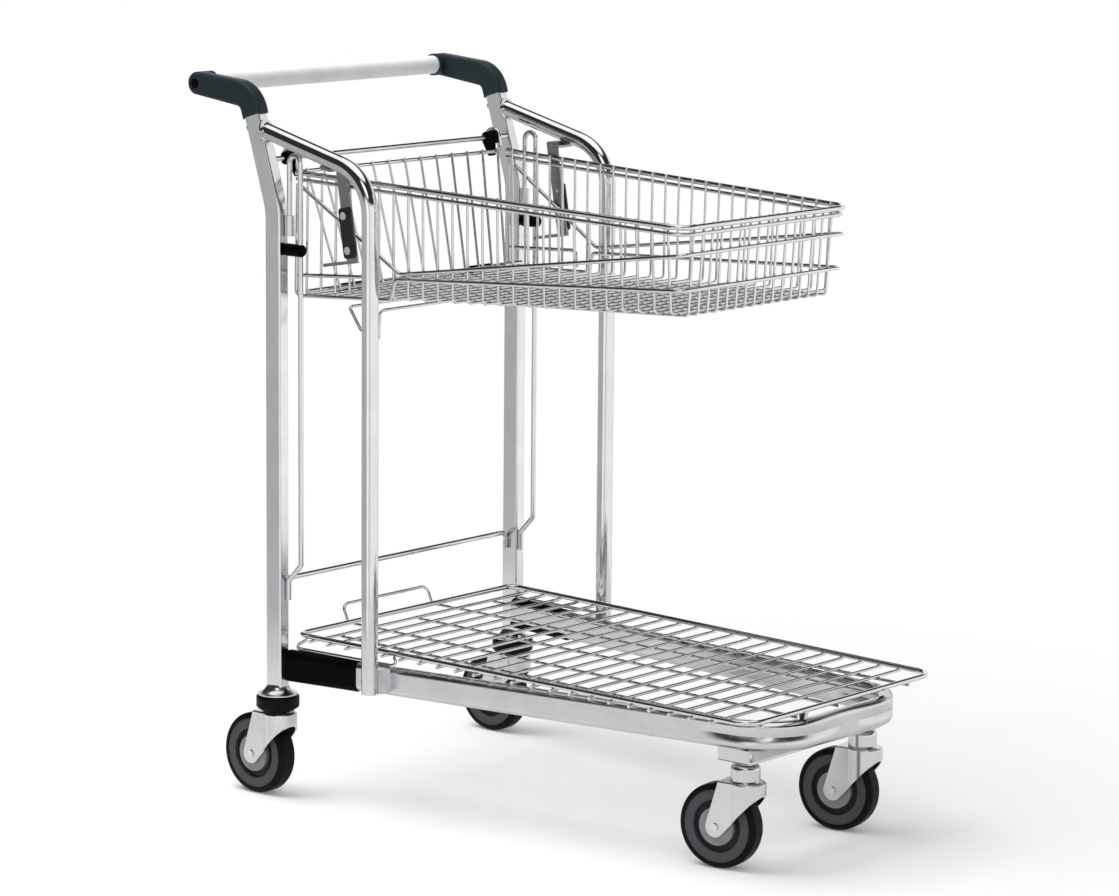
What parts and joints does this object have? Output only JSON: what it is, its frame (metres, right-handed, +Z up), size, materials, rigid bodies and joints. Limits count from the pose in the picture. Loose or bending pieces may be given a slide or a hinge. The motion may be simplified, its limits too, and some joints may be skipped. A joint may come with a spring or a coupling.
{
  "type": "shopping trolley",
  "caption": "Wheeled shop trolley: shallow wire basket with a swing-up rear gate above a lifting wire deck, on a tubular frame with a push handle and swivel castors.",
  "frame": {"origin": "on the floor under the middle of the overall length and width", "axes": "+X forward, away from the handle; +Y to the trolley's left; +Z up"},
  "size_m": [1.05, 0.616, 1.0985],
  "materials": {
    "zinc_tube": "bright zinc plate",
    "bright_wire": "bright plated wire",
    "zinc_sheet": "satin zinc",
    "fastener_steel": "plated",
    "black_plastic": "matt",
    "black_rubber": "matt",
    "slate_plastic": "fine grain",
    "pale_bar": "satin",
    "wheel_plastic": "satin",
    "tyre": "matt"
  },
  "bodies": {
    "frame": {"left_post": "zinc_tube", "right_post": "zinc_tube", "post_feet": "zinc_tube", "bumper_rings": "black_rubber", "castor_stems": "zinc_sheet", "left_hoop": "zinc_tube", "right_hoop": "zinc_tube", "base_rail": "zinc_tube", "rail_sleeves": "black_plastic", "hoop_feet": "zinc_tube", "castor_bridge": "zinc_tube", "low_cross_bar": "bright_wire", "left_guide_rod": "bright_wire", "right_guide_rod": "bright_wire", "guide_sockets": "zinc_sheet", "guide_clips": "black_plastic", "basket_rims": "bright_wire", "basket_upper_band": "bright_wire", "basket_lower_band": "bright_wire", "basket_left_wires": "bright_wire", "basket_right_wires": "bright_wire", "basket_front_wires": "bright_wire", "basket_floor_wires": "bright_wire", "basket_rear_rod": "bright_wire", "gate_stops": "black_plastic", "bag_hook": "bright_wire", "gate_pivot_rod": "bright_wire", "gate_bushes": "black_plastic", "left_hanger": "zinc_sheet", "right_hanger": "zinc_sheet", "clamp_plates": "black_plastic", "frame_bolts": "fastener_steel", "left_handle_bracket": "slate_plastic", "right_handle_bracket": "slate_plastic", "handle_bar": "pale_bar", "handle_screws": "black_plastic", "deck_saddles": "bright_wire"},
    "gate": {"gate_frame": "bright_wire", "gate_wires": "bright_wire"},
    "deck": {"deck_edge": "bright_wire", "deck_wires": "bright_wire", "deck_lift_loop": "bright_wire", "deck_rest_loops": "bright_wire"},
    "front_left_castor": {"front_left_fork": "zinc_sheet", "front_left_axle": "fastener_steel"},
    "front_left_wheel": {"front_left_wheel_core": "wheel_plastic", "front_left_tyre": "tyre"},
    "front_right_castor": {"front_right_fork": "zinc_sheet", "front_right_axle": "fastener_steel"},
    "front_right_wheel": {"front_right_wheel_core": "wheel_plastic", "front_right_tyre": "tyre"},
    "rear_left_castor": {"rear_left_fork": "zinc_sheet", "rear_left_axle": "fastener_steel"},
    "rear_left_wheel": {"rear_left_wheel_core": "wheel_plastic", "rear_left_tyre": "tyre"},
    "rear_right_castor": {"rear_right_fork": "zinc_sheet", "rear_right_axle": "fastener_steel"},
    "rear_right_wheel": {"rear_right_wheel_core": "wheel_plastic", "rear_right_tyre": "tyre"}
  },
  "joints": [
    {"name": "gate_hinge", "type": "hinge", "parent": "frame", "child": "gate", "pos_m": [-0.3625, 0, 0.975], "axis": [0, -1, 0], "range_deg": [0, 75]},
    {"name": "deck_hinge", "type": "hinge", "parent": "frame", "child": "deck", "pos_m": [0.515, 0, 0.2381], "axis": [0, 1, 0], "range_deg": [0, 5]},
    {"name": "front_left_swivel", "type": "hinge", "parent": "frame", "child": "front_left_castor", "pos_m": [0.4475, 0.1425, 0.134], "axis": [0, 0, 1], "continuous": true},
    {"name": "front_left_spin", "type": "hinge", "parent": "front_left_castor", "child": "front_left_wheel", "pos_m": [0.40987, 0.13721, 0.0625], "axis": [-0.1392, 0.9903, 0], "continuous": true},
    {"name": "front_right_swivel", "type": "hinge", "parent": "frame", "child": "front_right_castor", "pos_m": [0.4475, -0.1425, 0.134], "axis": [0, 0, 1], "continuous": true},
    {"name": "front_right_spin", "type": "hinge", "parent": "front_right_castor", "child": "front_right_wheel", "pos_m": [0.40987, -0.14779, 0.0625], "axis": [-0.1392, 0.9903, 0], "continuous": true},
    {"name": "rear_left_swivel", "type": "hinge", "parent": "frame", "child": "rear_left_castor", "pos_m": [-0.3495, 0.275, 0.134], "axis": [0, 0, 1], "continuous": true},
    {"name": "rear_left_spin", "type": "hinge", "parent": "rear_left_castor", "child": "rear_left_wheel", "pos_m": [-0.3875, 0.275, 0.0625], "axis": [0, 1, 0], "continuous": true},
    {"name": "rear_right_swivel", "type": "hinge", "parent": "frame", "child": "rear_right_castor", "pos_m": [-0.3495, -0.275, 0.134], "axis": [0, 0, 1], "continuous": true},
    {"name": "rear_right_spin", "type": "hinge", "parent": "rear_right_castor", "child": "rear_right_wheel", "pos_m": [-0.3875, -0.275, 0.0625], "axis": [0, 1, 0], "continuous": true}
  ]
}
